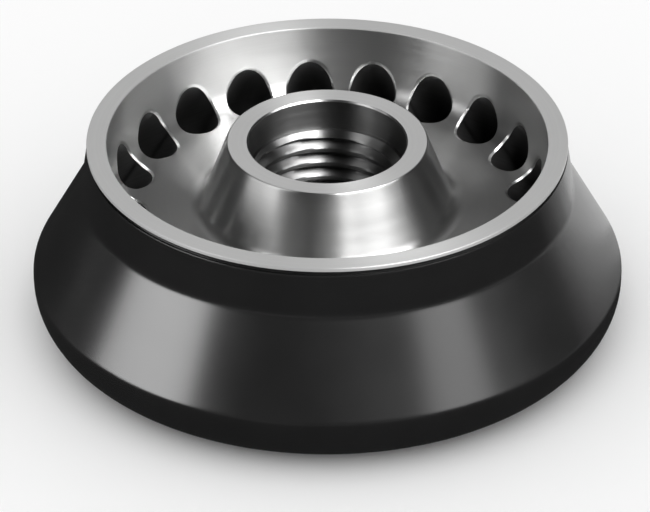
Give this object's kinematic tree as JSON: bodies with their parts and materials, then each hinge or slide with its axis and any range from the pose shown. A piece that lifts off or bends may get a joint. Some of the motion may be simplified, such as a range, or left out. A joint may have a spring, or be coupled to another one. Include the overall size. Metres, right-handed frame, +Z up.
{
  "type": "fixed angle rotor",
  "caption": "Small fixed angle centrifuge rotor: black flared skirt, bright turned bowl with a ring of inclined tube pockets round a threaded hub, drive pins below.",
  "frame": {"origin": "centre of the base plane, on the spin axis", "axes": "+Z up along the spin axis, towards the open bowl; +X through the first drive pin"},
  "size_m": [0.0902, 0.0902, 0.0305],
  "materials": {
    "black_coat": "satin black coating outside, bare turned metal in the bowl, hub and rim",
    "pin_steel": "ground"
  },
  "bodies": {
    "root": {"rotor_body": "black_coat", "drive_pin_1": "pin_steel", "drive_pin_2": "pin_steel"}
  },
  "joints": []
}
